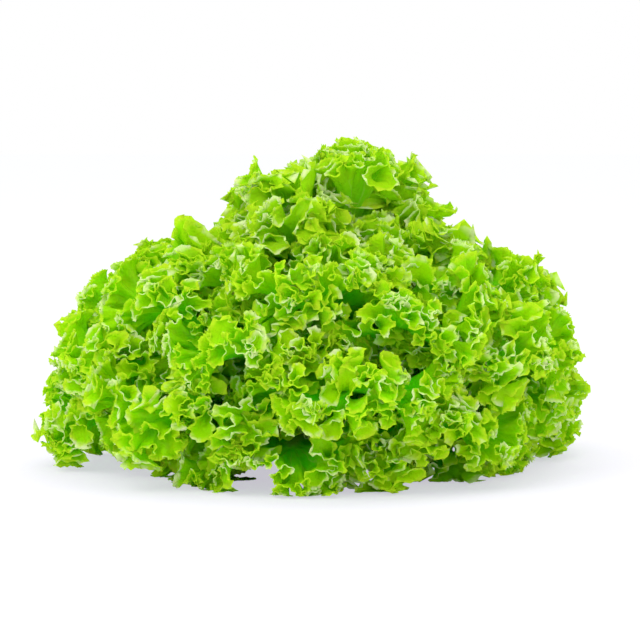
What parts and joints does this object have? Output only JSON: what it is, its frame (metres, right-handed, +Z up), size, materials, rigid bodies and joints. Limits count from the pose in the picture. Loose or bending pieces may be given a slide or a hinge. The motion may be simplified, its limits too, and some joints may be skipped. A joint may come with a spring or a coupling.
{
  "type": "lollo lettuce",
  "caption": "Round, low-domed head of green loose-leaf lettuce with tightly frilled leaf margins, standing on its trimmed stem.",
  "frame": {"origin": "centre of the stem's cut face, on the surface that the head stands on", "axes": "+Z up through the stem to the heart; +X to the right and -Y towards the viewer, seen from the front"},
  "size_m": [0.3045, 0.2968, 0.1818],
  "materials": {
    "stem": "pale green-white plant flesh with a dull, slightly browned cut",
    "outer_leaf": "fresh leaf, mid green with a paler margin and a soft sheen, lets light through",
    "middle_leaf": "fresh leaf, yellow-green with a pale lime margin and a soft sheen, lets light through",
    "heart_leaf": "fresh young leaf, light yellow-green with a pale lime margin and a soft sheen, lets light through"
  },
  "bodies": {
    "root": {"cut_stem": "stem", "outer_leaf_01": "outer_leaf", "outer_leaf_02": "outer_leaf", "outer_leaf_03": "outer_leaf", "outer_leaf_04": "outer_leaf", "outer_leaf_05": "outer_leaf", "outer_leaf_06": "outer_leaf", "outer_leaf_07": "outer_leaf", "outer_leaf_08": "outer_leaf", "outer_leaf_09": "outer_leaf", "outer_leaf_10": "outer_leaf", "outer_leaf_11": "outer_leaf", "outer_leaf_12": "outer_leaf", "outer_leaf_13": "outer_leaf", "outer_leaf_14": "outer_leaf", "middle_leaf_01": "middle_leaf", "middle_leaf_02": "middle_leaf", "middle_leaf_03": "middle_leaf", "middle_leaf_04": "middle_leaf", "middle_leaf_05": "middle_leaf", "middle_leaf_06": "middle_leaf", "middle_leaf_07": "middle_leaf", "middle_leaf_08": "middle_leaf", "middle_leaf_09": "middle_leaf", "middle_leaf_10": "middle_leaf", "middle_leaf_11": "middle_leaf", "middle_leaf_12": "middle_leaf", "middle_leaf_13": "middle_leaf", "middle_leaf_14": "middle_leaf", "middle_leaf_15": "middle_leaf", "middle_leaf_16": "middle_leaf", "middle_leaf_17": "middle_leaf", "middle_leaf_18": "middle_leaf", "heart_leaf_01": "heart_leaf", "heart_leaf_02": "heart_leaf", "heart_leaf_03": "heart_leaf", "heart_leaf_04": "heart_leaf", "heart_leaf_05": "heart_leaf", "heart_leaf_06": "heart_leaf", "heart_leaf_07": "heart_leaf", "heart_leaf_08": "heart_leaf", "heart_leaf_09": "heart_leaf", "heart_leaf_10": "heart_leaf", "heart_leaf_11": "heart_leaf", "heart_leaf_12": "heart_leaf"}
  },
  "joints": []
}
